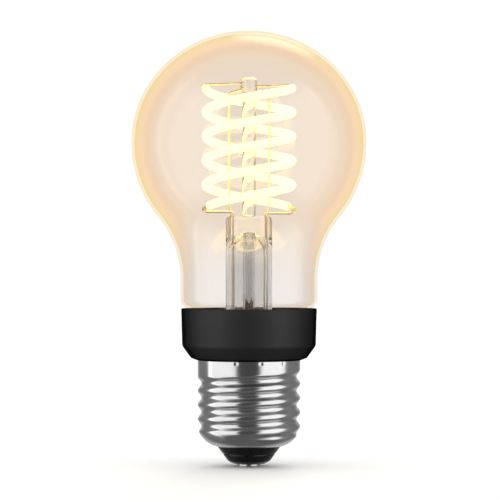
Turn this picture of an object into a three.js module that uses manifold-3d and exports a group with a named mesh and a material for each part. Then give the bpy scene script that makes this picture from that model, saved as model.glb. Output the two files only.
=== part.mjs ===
// Filament lamp: an A60 glass bulb with two coiled LED filaments, a black collar that holds the driver
// and its radio, and an E27 screw cap. Millimetres, +Z up, front towards -Y. The origin is the middle of
// the centre contact's lower face, which is where the lamp seats in its holder.

import * as THREE from "three";
import { ParametricGeometry } from "three/addons/geometries/ParametricGeometry.js";
import { mergeVertices } from "three/addons/utils/BufferGeometryUtils.js";
import Module from "manifold-3d";

const wasm = await Module();
wasm.setup();

// ---------------------------------------------------------------- driving dimensions

// Screw cap (E27)
const threadCrestDiameter = 26.3;
const threadPitch = 3.629;
const threadDepth = 1;
const threadStart = 5.15; // lowest crest on the +X side, above the shell's lower end
const threadTurns = 3.5; // turns of groove above that crest, before the groove fades
const threadRunOut = 0.5; // turns over which it fades away
const shellHeight = 21.95;
const shellWall = 0.3;
const shellEndRounding = 7;
const shellEndBulge = 0.45; // how far the rounding's circle reaches past the crests
const shellFootRadius = 8.05; // where the rounding meets the flat lower rim
const shellRim = 0.35; // width of that flat rim

// Centre contact and the insulator that carries it
const contactRadius = 2.95;
const contactThickness = 0.65;
const contactEdgeRounding = 0.35;
const studRadius = 0.7;
const studLength = 1.4;
const insulatorHeight = 4.4; // from the contact's top to the shell's lower rim
const insulatorTipRadius = 4;
const insulatorShoulder = [5.4, 0.75]; // radius, height above the contact's top
const insulatorFloor = 2;
const insulatorWall = 0.9;
const insulatorNeckHeight = 1.9; // how far it reaches up inside the shell

// Collar
const collarHeight = 13.2;
const collarRimInset = 0.2; // the rim stands this far inside the neck's outline
const collarTaper = 0.25; // from the rim down to the chamfer, on the radius
const collarChamferHeight = 3.7;
const collarFootRise = 0.6;
const collarFootReach = 1.65; // how far the foot stands out past the thread's crests
const collarWall = 1.2;
const collarFloor = 1.6;
const spigotWall = 1.25;
const spigotDepth = 17.4; // how far the collar's spigot reaches down inside the shell
const crimpBandHeight = 1.6;

// Glass bulb
const bulbDiameter = 60;
const domeRise = 28.4; // from the widest ring to the top
const neckRadius = 17.5;
const neckLength = 7.3; // from the collar's rim to the start of the belly's curve
const neckBlendRadius = 25.5; // hollow curve between neck and belly
const neckShoulderRounding = 2.6;
const neckShoulderRise = 2.4; // centre of that rounding above the collar's rim
const neckPlugDepth = 5.7; // how far the neck reaches down into the collar
const glassWall = 0.8;

// Stem
const stemRadius = 5.9;
const stemWall = 0.8;
const stemHeight = 23.5; // top of the pinch above the collar's rim
const pinchHalfThickness = 2.2;
const pinchHeight = 5.2; // flat part of the pinch
const pinchSlope = 4.8; // height over which the round tube turns into the flat pinch
const pinchGlass = 4.1; // solid glass above the bore
const pinchRounding = 1;
const boreHalfThickness = 1.2; // the bore's upper end is pinched flat too
const flareRise = 6;
const exhaustRadius = 1.5;
const exhaustBore = 0.7;
const exhaustDrop = 7.2; // its sealed tip below the collar's rim

// Glass rod with the button that holds the top wires
const rodRadius = 1.65;
const buttonRadius = 2.1;
const buttonHeight = 3.2;
const buttonDome = 0.6;
const buttonAboveCoils = 2.6;

// LED filaments: two helices, half a turn apart
const coilRadius = 11;
const filamentRadius = 1.05;
const coilPitch = 12.4; // rise of one filament in a full turn
const coilSweep = 876.5; // degrees that each filament runs through
const coilTopAngle = 0; // degrees from +X to the first filament's upper end
const coilAboveStem = 2.6;
const terminalRadius = 0.45;
const upperTerminalLength = 2.4;
const lowerTerminalLength = 4.4;

// Wires
const leadRadius = 0.28;
const riserRadius = { left: 0.28, right: 0.2 };
const topWireRadius = 0.25;
const supplyRadius = 0.3;
const leadInset = 1.1; // the leads' distance in from the stem's bore, across
const riserInset = 0.6;
const riserSpreadInset = 0.8; // above the pinch the risers stand this far inside the stem's outline
const leadRun = { left: 1.1, right: 0.8 }; // height of the leads' level run above the pinch
const topWireDrop = { left: 1.4, right: 2.2 }; // below the button's top
const riserSpread = 3; // height above the pinch over which they spread
const hookDrop = 2.7; // the left riser enters the button this far below its top
const hookRise = 1.2; // height of its slanting end
const socketDepth = 1.1; // how deep the button's wires sit in it
const wireFoot = 2; // how far the sealed wires reach down beside the driver board

// Driver
const boardEdgeGap = 1.8; // from the board's long edges to the collar's spigot
const boardHeight = 21;
const boardThickness = 1.2;
const boardAboveInsulator = 0.5;
const capacitorRoom = 1.275; // left free around it between the board and the spigot's wall, each side
const capacitorLength = 11;
const inductorRoom = 1.175;
const inductorHeight = 7.4;
const inductorFlange = 1;
const rectifierSize = [4.7, 2.4, 4];
const driverChipSize = [4.9, 1.5, 3.9];
const filmCapacitorSize = [7, 3, 4];
const fuseRadius = 1.1;
const fuseLength = 6;

// Radio
const radioBoardSize = [13, 0.8, 12];
const radioAboveShell = 6.4; // the metal shell would screen an antenna that stood lower
const headerSize = [6, 2.4, 2.4];
const radioChipSize = [5, 0.9, 5];
const shieldSize = [9, 1.8, 7];
const shieldWall = 0.2;
const antennaSize = [10, 0.3, 3];
const antennaTrack = 0.6;

// Clearances
const fitGap = 0.3; // between pieces that plug into each other
const bondGap = 0.15; // between pieces that are glued, soldered or cemented together
const wireGap = 0.2; // around a wire that passes through glass
const overcut = 1; // how far a cutting shape reaches past the faces it cuts

// How finely round things are divided
const roundSides = 32;
const smallSides = 20;
const wireSides = 6;
const coilStepAngle = 14; // degrees
const rowsPerThread = 5;

// ---------------------------------------------------------------- derived heights and radii

const fullTurn = 2 * Math.PI;
const crestRadius = threadCrestDiameter / 2;
const shellBottom = contactThickness + insulatorHeight;
const shellTop = shellBottom + shellHeight;
const shellEndRadius = crestRadius + shellEndBulge - shellEndRounding; // of the rounding's centre ring
const shellEndHeight =
  shellBottom + Math.sqrt(shellEndRounding ** 2 - (shellFootRadius - shellEndRadius) ** 2);
const insulatorTop = shellBottom + insulatorNeckHeight;
const collarTop = shellTop + collarHeight;
const collarRimRadius = neckRadius - collarRimInset;
const collarInnerRadius = collarRimRadius - collarWall;
const spigotRadius = crestRadius - threadDepth - shellWall - fitGap;
const spigotInnerRadius = spigotRadius - spigotWall;
const bulbRadius = bulbDiameter / 2;
const neckTop = collarTop + neckLength;
const beltHeight =
  neckTop + Math.sqrt((bulbRadius + neckBlendRadius) ** 2 - (neckRadius + neckBlendRadius) ** 2);
const neckPlugRadius = neckRadius - neckShoulderRounding;
const neckBottom = collarTop - neckPlugDepth;
const stemTop = collarTop + stemHeight;
const stemBore = stemRadius - stemWall;
const boreTop = stemTop - pinchGlass;
const flareRadius = neckPlugRadius - glassWall - fitGap;
const leadAcross = stemBore - leadInset;
const riserAcross = stemBore - riserInset;
const riserReach = stemRadius - riserSpreadInset;
const coilBottom = stemTop + coilAboveStem;
const coilTop = coilBottom + (coilPitch * coilSweep) / 360;
const buttonTop = coilTop + buttonAboveCoils;
const boardWidth = 2 * (spigotInnerRadius - boardEdgeGap);
const boardBottom = insulatorTop + boardAboveInsulator;
const boardTop = boardBottom + boardHeight;
const boardFace = boardThickness / 2 + bondGap; // where a component's underside sits, from the axis
const wireDepth = boardFace + leadRadius; // sealed wires end beside the board
const bayDepth = spigotInnerRadius - boardFace; // room on either side of the board
const capacitorRadius = bayDepth / 2 - capacitorRoom;
const inductorRadius = bayDepth / 2 - inductorRoom;
const radioBoardTop = shellTop + radioAboveShell;
const radioBoardFace = boardFace + headerSize[1] + bondGap;

// ---------------------------------------------------------------- shape helpers

// Revolves a [radius, height] profile about Z. The profile runs up the outside and down the inside.
function revolve(profile, sides = roundSides) {
  const points = profile.map(([r, z]) => new THREE.Vector2(r, z));
  const onAxis = profile[0][0] === 0 && profile.at(-1)[0] === 0;
  if (!onAxis) points.push(points[0].clone());
  return new THREE.LatheGeometry(points, sides).rotateX(Math.PI / 2);
}

// Points of a profile on an ellipse, with the angles in degrees from the outward direction.
function arc(centre, radii, fromAngle, toAngle, steps) {
  return Array.from({ length: steps + 1 }, (_, i) => {
    const a = THREE.MathUtils.degToRad(THREE.MathUtils.lerp(fromAngle, toAngle, i / steps));
    return [centre[0] + radii[0] * Math.cos(a), centre[1] + radii[1] * Math.sin(a)];
  });
}

function box(size) {
  return new THREE.BoxGeometry(...size);
}

// An outline in the YZ plane, extruded across the whole width of a cube of the given size.
function slabAcross(outline, size) {
  const shape = new THREE.Shape(outline.map(([y, z]) => new THREE.Vector2(y, z)));
  return new THREE.ExtrudeGeometry(shape, { depth: size, bevelEnabled: false })
    .translate(0, 0, -size / 2)
    .rotateY(Math.PI / 2)
    .rotateX(Math.PI / 2);
}

// A round bar of a given radius along a curve.
function barAlong(curve, radius, steps) {
  const corners = Array.from({ length: wireSides }, (_, i) => {
    const a = (i / wireSides) * fullTurn;
    return new THREE.Vector2(radius * Math.cos(a), radius * Math.sin(a));
  });
  return new THREE.ExtrudeGeometry(new THREE.Shape(corners), {
    steps,
    extrudePath: curve,
    bevelEnabled: false,
  });
}

// A path through corner points with rounded bends. It has a stop at each end and a few in each bend.
class BentPath extends THREE.Curve {
  constructor(corners, bend, bendSteps) {
    super();
    const points = corners.map((corner) => new THREE.Vector3(...corner));
    this.stops = [points[0]];
    for (let i = 1; i < points.length - 1; i++) {
      const [before, after] = [points[i - 1], points[i + 1]].map((next) =>
        next.clone().sub(points[i]).setLength(bend).add(points[i]),
      );
      const corner = new THREE.QuadraticBezierCurve3(before, points[i], after);
      this.stops.push(...corner.getPoints(bendSteps));
    }
    this.stops.push(points.at(-1));
  }

  stop(i) {
    return this.stops[THREE.MathUtils.clamp(i, 0, this.stops.length - 1)].clone();
  }

  getPointAt(u) {
    return this.stop(Math.round(u * (this.stops.length - 1)));
  }

  getTangentAt(u) {
    const i = Math.round(u * (this.stops.length - 1));
    return this.stop(i + 1).sub(this.stop(i - 1)).normalize();
  }
}

function wire({ corners, radius, bend = 0.5 }, extra = 0) {
  const path = new BentPath(corners, bend, 3);
  return barAlong(path, radius + extra, path.stops.length - 1);
}

// A helix about Z that climbs by the coils' pitch in each turn.
class Helix extends THREE.Curve {
  constructor(fromAngle, toAngle, fromHeight) {
    super();
    Object.assign(this, { fromAngle, toAngle, fromHeight });
  }

  getPoint(t) {
    const climbed = (this.toAngle - this.fromAngle) * t;
    const a = THREE.MathUtils.degToRad(this.fromAngle + climbed);
    const height = this.fromHeight + (coilPitch * climbed) / 360;
    return new THREE.Vector3(coilRadius * Math.cos(a), coilRadius * Math.sin(a), height);
  }
}

function toSolid(geometry) {
  const bare = geometry.clone();
  bare.deleteAttribute("normal");
  bare.deleteAttribute("uv");
  const merged = mergeVertices(bare, 1e-3);
  return new wasm.Manifold(
    new wasm.Mesh({
      numProp: 3,
      vertProperties: merged.attributes.position.array,
      triVerts: new Uint32Array(merged.index.array),
    }),
  );
}

function toGeometry(solid) {
  const mesh = solid.getMesh();
  return new THREE.BufferGeometry()
    .setAttribute("position", new THREE.BufferAttribute(mesh.vertProperties, 3))
    .setIndex(new THREE.BufferAttribute(mesh.triVerts, 1));
}

function cut(geometry, ...tools) {
  return toGeometry(tools.reduce((solid, tool) => solid.subtract(toSolid(tool)), toSolid(geometry)));
}

function overlap(first, second) {
  return toGeometry(toSolid(first).intersect(toSolid(second)));
}

// ---------------------------------------------------------------- materials

const finish = (color, roughness, metalness = 0) => ({ color, roughness, metalness });

const finishes = {
  amberGlass: { ...finish(0xf2d3ac, 0.03), transparent: true, opacity: 0.3 },
  clearGlass: { ...finish(0xe6e4dc, 0.03), transparent: true, opacity: 0.4 },
  phosphor: { ...finish(0xfff6c4, 0.45), emissive: 0xffe9a0 },
  goldenWire: finish(0xe2c274, 0.3, 1),
  terminalSteel: finish(0xcfc6ae, 0.35, 1),
  blackPlastic: finish(0x232323, 0.5),
  nickelPlate: finish(0xc9c9c9, 0.2, 1),
  blackInsulator: finish(0x141414, 0.25),
  solder: finish(0xb9b9b6, 0.35, 1),
  cement: finish(0xb9ac92, 0.8),
  boardLaminate: finish(0x1f5a38, 0.5),
  ferrite: finish(0x3a3a3c, 0.7),
  copper: finish(0xb8703a, 0.35, 1),
  blackEpoxy: finish(0x1c1c1e, 0.55),
  capacitorSleeve: finish(0x2b3a4a, 0.4),
  filmYellow: finish(0xc9a23a, 0.45),
  fuseGreen: finish(0x4f7a58, 0.5),
  cableRed: finish(0xb23a30, 0.5),
  cableBlue: finish(0x2f4f9e, 0.5),
};

// ---------------------------------------------------------------- screw cap

// Depth of the rolled groove at a height and angle, from 0 on a crest to 1 in a root.
function groove(height, angle) {
  const along = (height - shellBottom - threadStart) / threadPitch - angle / fullTurn;
  const turnsUp = Math.floor(along) + 0.5 + angle / fullTurn;
  const faded = THREE.MathUtils.smoothstep(turnsUp, threadTurns, threadTurns + threadRunOut);
  return ((1 - faded) * (1 - Math.cos(fullTurn * along))) / 2;
}

// The shell is one formed sheet, so both faces follow the same thread and the same rounded end.
function shellRadius(height, angle, inset) {
  const threaded = crestRadius - inset - threadDepth * groove(height, angle);
  const below = Math.max(0, shellEndHeight - height);
  const rounded = shellEndRadius + Math.sqrt((shellEndRounding - inset) ** 2 - below ** 2);
  return Math.min(threaded, rounded);
}

function screwShell() {
  const endHeight = 4;
  const endRows = 4;
  const straightRows = Math.round((shellHeight - endHeight) / (threadPitch / rowsPerThread));
  const heights = (bottom) => {
    const end = Array.from({ length: endRows }, (_, i) =>
      THREE.MathUtils.lerp(bottom, shellBottom + endHeight, (i / endRows) ** 2),
    );
    const straight = Array.from({ length: straightRows + 1 }, (_, i) =>
      THREE.MathUtils.lerp(shellBottom + endHeight, shellTop, i / straightRows),
    );
    return [...end, ...straight];
  };
  const mouth = shellFootRadius - shellRim;
  const rows = [
    { height: shellBottom, radius: mouth },
    ...heights(shellBottom).map((height) => ({ height, inset: 0 })),
    ...heights(shellBottom + shellWall)
      .reverse()
      .map((height) => ({ height, inset: shellWall })),
    { height: shellBottom + shellWall, radius: mouth },
  ];
  const surface = (u, v, target) => {
    const { height, inset, radius } = rows[Math.round(v * rows.length) % rows.length];
    const r = radius ?? shellRadius(height, u * fullTurn, inset);
    target.set(r * Math.cos(u * fullTurn), r * Math.sin(u * fullTurn), height);
  };
  return new ParametricGeometry(surface, roundSides, rows.length);
}

function capInsulator() {
  const bore = studRadius + fitGap;
  const neck = shellFootRadius - shellRim - fitGap;
  return revolve([
    [bore, contactThickness],
    [insulatorTipRadius, contactThickness],
    [insulatorShoulder[0], contactThickness + insulatorShoulder[1]],
    [shellFootRadius, shellBottom],
    [neck, shellBottom],
    [neck, insulatorTop],
    [neck - insulatorWall, insulatorTop],
    [neck - insulatorWall, contactThickness + insulatorFloor + insulatorWall],
    [bore, contactThickness + insulatorFloor],
  ]);
}

function centreContact() {
  const edge = contactEdgeRounding;
  return revolve([
    [0, 0],
    ...arc([contactRadius - edge, edge], [edge, edge], -90, 0, 3),
    [contactRadius, contactThickness],
    [studRadius, contactThickness],
    [studRadius, contactThickness + studLength],
    [0, contactThickness + studLength],
  ]);
}

// ---------------------------------------------------------------- collar and glass bulb

function collarHousing() {
  const foot = crestRadius + collarFootReach;
  const band = crestRadius - shellWall - bondGap;
  return revolve([
    [spigotInnerRadius, shellTop - spigotDepth],
    [spigotRadius, shellTop - spigotDepth],
    [spigotRadius, shellTop - crimpBandHeight],
    [band, shellTop - crimpBandHeight],
    [band, shellTop],
    [crestRadius, shellTop],
    [foot, shellTop + collarFootRise],
    [collarRimRadius - collarTaper, shellTop + collarChamferHeight],
    [collarRimRadius, collarTop],
    [collarInnerRadius, collarTop],
    [collarInnerRadius, shellTop + collarChamferHeight],
    [foot - collarWall, shellTop + collarFloor],
    [spigotInnerRadius, shellTop + collarFloor],
  ]);
}

// One face of the bulb's glass, from the plug inside the collar to the top.
function bulbFace(inset) {
  const shoulder = [neckPlugRadius, collarTop + neckShoulderRise];
  const blend = [neckRadius + neckBlendRadius, neckTop];
  const slant = THREE.MathUtils.radToDeg(Math.atan2(beltHeight - neckTop, blend[0]));
  const round = (radius) => [radius, radius];
  return [
    [neckPlugRadius - inset, neckBottom],
    [neckPlugRadius - inset, collarTop - glassWall + inset / 2],
    ...arc(shoulder, round(neckShoulderRounding - inset), -75, 0, 3),
    ...arc(blend, round(neckBlendRadius + inset), 180, 180 - slant, 5),
    ...arc([0, beltHeight], round(bulbRadius - inset), -slant, 0, 5).slice(1, -1),
    ...arc([0, beltHeight], [bulbRadius - inset, domeRise - inset], 0, 90, 8).slice(0, -1),
    [0, beltHeight + domeRise - inset],
  ];
}

// Both faces meet the axis at the top, so the profile comes down the inside and goes up the outside.
function glassEnvelope() {
  return revolve([...bulbFace(glassWall).reverse(), ...bulbFace(0)]);
}

function neckCement() {
  const inner = neckPlugRadius + bondGap;
  const outer = collarInnerRadius - bondGap;
  const top = collarTop - glassWall - bondGap;
  return revolve([
    [inner, neckBottom],
    [outer, neckBottom],
    [outer, top],
    [inner, top],
  ]);
}

// ---------------------------------------------------------------- filaments

// The first filament feeds from the left lead and ends on the right; the second does the reverse.
const coils = {
  a: new Helix(coilTopAngle - coilSweep, coilTopAngle, coilBottom),
  b: new Helix(coilTopAngle - coilSweep + 180, coilTopAngle + 180, coilBottom),
};

function filament(coil) {
  return barAlong(coil, filamentRadius, Math.round(coilSweep / coilStepAngle));
}

// A point straight on from a coil's lower (0) or upper (1) end.
function beyondEnd(coil, end, distance) {
  const outward = coil.getTangent(end).multiplyScalar(end === 1 ? 1 : -1);
  return coil.getPoint(end).addScaledVector(outward, distance);
}

function terminal(coil, end, length) {
  const from = beyondEnd(coil, end, bondGap);
  const to = beyondEnd(coil, end, bondGap + length);
  return barAlong(new THREE.LineCurve3(from, to), terminalRadius, 1);
}

// ---------------------------------------------------------------- wires in the glass

const mirrored = { left: -1, right: 1 };
const coilAbove = { left: coils.b, right: coils.a }; // whose upper end is on that side
const coilBelow = { left: coils.a, right: coils.b }; // whose lower end is on that side

// From beside the driver board, up through the pinch, and out to a filament's lower terminal.
function leadRoute(side, coil) {
  const across = mirrored[side] * leadAcross;
  const depth = mirrored[side] * wireDepth;
  const level = stemTop + leadRun[side];
  const end = beyondEnd(coil, 0, lowerTerminalLength / 2);
  const endHeight = end.z - terminalRadius - bondGap;
  return {
    radius: leadRadius,
    corners: [
      [across, depth, boardTop - wireFoot],
      [across, depth, level],
      [end.x, end.y, level],
      [end.x, end.y, endHeight],
    ],
    bend: Math.min(0.5, (endHeight - level) / 2),
  };
}

// The risers climb beside the coils' axis: the left one into the button, the right one to its top wire.
function riserRoute(side) {
  const across = mirrored[side];
  const depth = -across * wireDepth;
  const upperEnds = {
    left: [
      [-riserReach, 0, buttonTop - hookDrop - hookRise],
      [socketDepth - buttonRadius, 0, buttonTop - hookDrop],
    ],
    right: [[riserReach, 0, topWireHeight("right", riserReach) - topWireRadius - riserRadius.right]],
  };
  return {
    radius: riserRadius[side],
    corners: [
      [across * riserAcross, depth, boardTop - wireFoot],
      [across * riserAcross, depth, stemTop],
      [across * riserReach, depth / 2, stemTop + riserSpread],
      ...upperEnds[side],
    ],
  };
}

// The button's wires reach out to rest on the filaments' upper terminals.
function topWireRoute(side, coil) {
  const end = beyondEnd(coil, 1, upperTerminalLength / 2);
  return {
    radius: topWireRadius,
    corners: [
      [mirrored[side] * (buttonRadius - socketDepth), 0, buttonTop - topWireDrop[side]],
      [end.x, end.y, end.z + terminalRadius + bondGap + topWireRadius],
    ],
  };
}

// How high a top wire's middle runs at a distance across from the axis.
function topWireHeight(side, across) {
  const [from, to] = topWireRoute(side, coilAbove[side]).corners;
  const share = (across - Math.abs(from[0])) / (Math.abs(to[0]) - Math.abs(from[0]));
  return THREE.MathUtils.lerp(from[2], to[2], share);
}

const routes = {
  lead_wire_left: leadRoute("left", coilBelow.left),
  lead_wire_right: leadRoute("right", coilBelow.right),
  riser_wire_left: riserRoute("left"),
  riser_wire_right: riserRoute("right"),
  top_wire_left: topWireRoute("left", coilAbove.left),
  top_wire_right: topWireRoute("right", coilAbove.right),
};

// ---------------------------------------------------------------- stem and rod

// The flare's faces are quarter ellipses, from near the rim up to the straight tube. The upper face
// lies the wall's thickness outside the lower one.
function flareFace(wall, rimAngle) {
  const radii = [flareRadius - stemBore - wall, flareRise - wall];
  return arc([flareRadius, neckBottom + flareRise], radii, rimAngle, 180, 6);
}

function stem() {
  const slopeBottom = stemTop - pinchHeight - pinchSlope;
  const round = [pinchRounding, pinchRounding];
  const outline = revolve([
    [0, neckBottom],
    [flareRadius, neckBottom],
    ...flareFace(stemWall, 270),
    ...arc([stemRadius - pinchRounding, stemTop - pinchRounding], round, 0, 90, 3),
    [0, stemTop],
  ]);
  const bore = revolve([
    [0, neckBottom - overcut],
    ...flareFace(0, 262).map(([r, z], i) => [r, i === 0 ? neckBottom - overcut : z]),
    ...arc([0, boreTop - stemBore], [stemBore, stemBore], 0, 90, 5).slice(0, -1),
    [0, boreTop],
  ]);
  // The bore narrows to a flat arch in the pinch, so it is kept between two slopes.
  const half = [
    [flareRadius, neckBottom - 2 * overcut],
    [flareRadius, slopeBottom - flareRise],
    [stemBore, slopeBottom - stemWall],
    [boreHalfThickness, boreTop - stemWall],
    [boreHalfThickness, boreTop + overcut],
  ];
  const otherHalf = half.map(([y, z]) => [-y, z]).reverse();
  const pinchedBore = overlap(bore, slabAcross([...half, ...otherHalf], 3 * flareRadius));
  const flats = [1, -1].map((side) => {
    const outline = [
      [stemRadius, slopeBottom],
      [stemRadius + overcut, slopeBottom],
      [stemRadius + overcut, stemTop + overcut],
      [pinchHalfThickness, stemTop + overcut],
      [pinchHalfThickness, stemTop - pinchHeight],
    ];
    return slabAcross(outline.map(([y, z]) => [side * y, z]), 3 * stemRadius);
  });
  const exhaustSocket = revolve([
    [0, boreTop - stemBore],
    [exhaustRadius + bondGap, boreTop - stemBore],
    [exhaustRadius + bondGap, boreTop],
    [0, boreTop],
  ]);
  const passages = ["lead_wire_left", "lead_wire_right", "riser_wire_left", "riser_wire_right"].map(
    (name) => wire(routes[name], wireGap),
  );
  return cut(outline, pinchedBore, exhaustSocket, ...flats, ...passages);
}

function exhaustTube() {
  const tip = collarTop - exhaustDrop;
  const wall = exhaustRadius - exhaustBore;
  return revolve(
    [
      [0, tip],
      ...arc([0, tip + exhaustRadius], [exhaustRadius, exhaustRadius], -90, 0, 4).slice(1),
      [exhaustRadius, boreTop - bondGap],
      [exhaustBore, boreTop - bondGap],
      [exhaustBore, tip + exhaustRadius],
      [0, tip + wall],
    ],
    smallSides,
  );
}

function supportRod() {
  const buttonBottom = buttonTop - buttonHeight;
  const fillet = buttonRadius - rodRadius;
  const rod = revolve(
    [
      [0, stemTop],
      [rodRadius, stemTop],
      [rodRadius, buttonBottom - fillet],
      [buttonRadius, buttonBottom],
      ...arc([buttonRadius - buttonDome, buttonTop - buttonDome], [buttonDome, buttonDome], 0, 90, 3),
      [0, buttonTop],
    ],
    smallSides,
  );
  const sockets = ["top_wire_left", "top_wire_right", "riser_wire_left"].map((name) =>
    wire(routes[name], wireGap),
  );
  return cut(rod, ...sockets);
}

// ---------------------------------------------------------------- driver

function bulkCapacitor() {
  const edge = 0.5;
  const groove = 1.6; // height of the crimp above the seal
  const half = capacitorLength / 2;
  return revolve(
    [
      [0, -half],
      [capacitorRadius - edge, -half],
      [capacitorRadius, -half + edge],
      [capacitorRadius, -half + groove],
      [capacitorRadius - edge, -half + groove + edge],
      [capacitorRadius, -half + groove + 2 * edge],
      [capacitorRadius, half - edge],
      [capacitorRadius - edge, half],
      [0, half],
    ],
    smallSides,
  );
}

function inductorCore() {
  const half = inductorHeight / 2;
  const drum = inductorRadius / 2;
  return revolve(
    [
      [0, -half],
      [inductorRadius, -half],
      [inductorRadius, -half + inductorFlange],
      [drum, -half + inductorFlange],
      [drum, half - inductorFlange],
      [inductorRadius, half - inductorFlange],
      [inductorRadius, half],
      [0, half],
    ],
    smallSides,
  );
}

function inductorWinding() {
  const half = inductorHeight / 2 - inductorFlange - bondGap;
  const inner = inductorRadius / 2 + bondGap;
  const outer = inductorRadius - fitGap;
  return revolve(
    [
      [inner, -half],
      [outer, -half],
      [outer, half],
      [inner, half],
    ],
    smallSides,
  );
}

function fuseResistor() {
  const half = fuseLength / 2;
  const waist = fuseRadius * 0.8;
  const cap = 1.4; // length of the thicker ends
  return revolve(
    [
      [0, -half],
      [fuseRadius, -half],
      [fuseRadius, -half + cap],
      [waist, -half + cap + 0.3],
      [waist, half - cap - 0.3],
      [fuseRadius, half - cap],
      [fuseRadius, half],
      [0, half],
    ],
    smallSides / 2,
  );
}

// ---------------------------------------------------------------- radio

// A five-sided can, open towards the board.
function radioShield() {
  const [width, depth, height] = shieldSize;
  const hollow = box([width - 2 * shieldWall, depth, height - 2 * shieldWall]);
  return cut(box(shieldSize), hollow.translate(0, -shieldWall, 0));
}

// A flat strip that folds back and forth: its middle line is a square wave.
function antenna() {
  const [width, thickness, height] = antennaSize;
  const folds = 5;
  const step = width / (2 * folds);
  const shape = new THREE.Shape();
  shape.moveTo(-width / 2, 0);
  for (let i = 0; i < folds; i++) {
    const x = -width / 2 + 2 * i * step;
    shape.lineTo(x, height);
    shape.lineTo(x + step + antennaTrack, height);
    shape.lineTo(x + step + antennaTrack, antennaTrack);
    shape.lineTo(x + 2 * step, antennaTrack);
  }
  shape.lineTo(width / 2, 0);
  for (let i = folds - 1; i >= 0; i--) {
    const x = -width / 2 + 2 * i * step;
    shape.lineTo(x + step, 0);
    shape.lineTo(x + step, height - antennaTrack);
    shape.lineTo(x + antennaTrack, height - antennaTrack);
    if (i > 0) shape.lineTo(x + antennaTrack, 0);
  }
  shape.lineTo(-width / 2 + antennaTrack, 0);
  return new THREE.ExtrudeGeometry(shape, { depth: thickness, bevelEnabled: false })
    .rotateX(Math.PI / 2)
    .translate(0, thickness / 2, -height / 2);
}

// ---------------------------------------------------------------- supply wires

// From the centre contact's stud to the driver board's front face.
function liveWire() {
  const depth = -boardFace - supplyRadius;
  return wire({
    radius: supplyRadius,
    corners: [
      [0, 0, contactThickness + studLength],
      [0, 0, shellBottom],
      [0, depth, insulatorTop],
      [0, depth, boardBottom + 2],
    ],
  });
}

// From the driver board's back face, under the spigot, to the shell's inner face.
function neutralWire() {
  const depth = boardFace + supplyRadius;
  const across = -boardWidth / 2 + 2;
  const level = shellTop - spigotDepth - fitGap - 2 * supplyRadius;
  const faces = [-1, 0, 1].map((side) =>
    shellRadius(level + side * supplyRadius, Math.PI, shellWall),
  );
  const reach = Math.min(...faces) - fitGap;
  return wire({
    radius: supplyRadius,
    corners: [
      [across, depth, boardBottom + 4],
      [across, depth, level],
      [-Math.sqrt(reach ** 2 - depth ** 2), depth, level],
    ],
  });
}

// ---------------------------------------------------------------- assembly

const lamp = new THREE.Group();

function add(name, geometry, finishName, place = [0, 0, 0], into = lamp) {
  const mesh = new THREE.Mesh(geometry, new THREE.MeshStandardMaterial(finishes[finishName]));
  mesh.name = name;
  mesh.position.set(...place);
  into.add(mesh);
}

add("glass_envelope", glassEnvelope(), "amberGlass");
add("glass_stem", stem(), "clearGlass");
add("exhaust_tube", exhaustTube(), "clearGlass");
add("support_rod", supportRod(), "clearGlass");
for (const [name, route] of Object.entries(routes)) add(name, wire(route), "goldenWire");
for (const [letter, coil] of Object.entries(coils)) {
  add(`filament_${letter}`, filament(coil), "phosphor");
  add(`terminal_${letter}_upper`, terminal(coil, 1, upperTerminalLength), "terminalSteel");
  add(`terminal_${letter}_lower`, terminal(coil, 0, lowerTerminalLength), "terminalSteel");
}

add("collar_housing", collarHousing(), "blackPlastic");
add("neck_cement", neckCement(), "cement");
add("screw_shell", screwShell(), "nickelPlate");
add("cap_insulator", capInsulator(), "blackInsulator");
add("centre_contact", centreContact(), "solder");
add("live_wire", liveWire(), "cableRed");
add("neutral_wire", neutralWire(), "cableBlue");

// Components stand off the driver board's two faces, at a height above its lower edge and at a gap
// from its left or right edge.
const front = (thickness) => -boardFace - thickness / 2;
const back = (thickness) => boardFace + thickness / 2;
const left = (width, gap) => -boardWidth / 2 + gap + width / 2;
const right = (width, gap) => boardWidth / 2 - gap - width / 2;
const driver = new THREE.Group();
driver.position.z = boardBottom;
lamp.add(driver);
const onBoard = (name, geometry, finishName, ...place) =>
  add(name, geometry, finishName, place, driver);

const boardSize = [boardWidth, boardThickness, boardHeight];
const capacitorPlace = [left(2 * capacitorRadius, 1), front(2 * capacitorRadius), 8];
const rectifierPlace = [right(rectifierSize[0], 1.5), front(rectifierSize[1]), 5];
const driverChipPlace = [right(driverChipSize[0], 1.5), front(driverChipSize[1]), 12];
const inductorPlace = [right(2 * inductorRadius, 1.7), back(2 * inductorRadius), 5.5];
const fusePlace = [left(2 * fuseRadius, 3.4), back(2 * fuseRadius), 5];
const filmCapacitorPlace = [left(filmCapacitorSize[0], 1.5), back(filmCapacitorSize[1]), 11.5];

onBoard("driver_board", box(boardSize), "boardLaminate", 0, 0, boardHeight / 2);
onBoard("bulk_capacitor", bulkCapacitor(), "capacitorSleeve", ...capacitorPlace);
onBoard("bridge_rectifier", box(rectifierSize), "blackEpoxy", ...rectifierPlace);
onBoard("driver_chip", box(driverChipSize), "blackEpoxy", ...driverChipPlace);
onBoard("inductor_core", inductorCore(), "ferrite", ...inductorPlace);
onBoard("inductor_winding", inductorWinding(), "copper", ...inductorPlace);
onBoard("fuse_resistor", fuseResistor(), "fuseGreen", ...fusePlace);
onBoard("film_capacitor", box(filmCapacitorSize), "filmYellow", ...filmCapacitorPlace);

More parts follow.
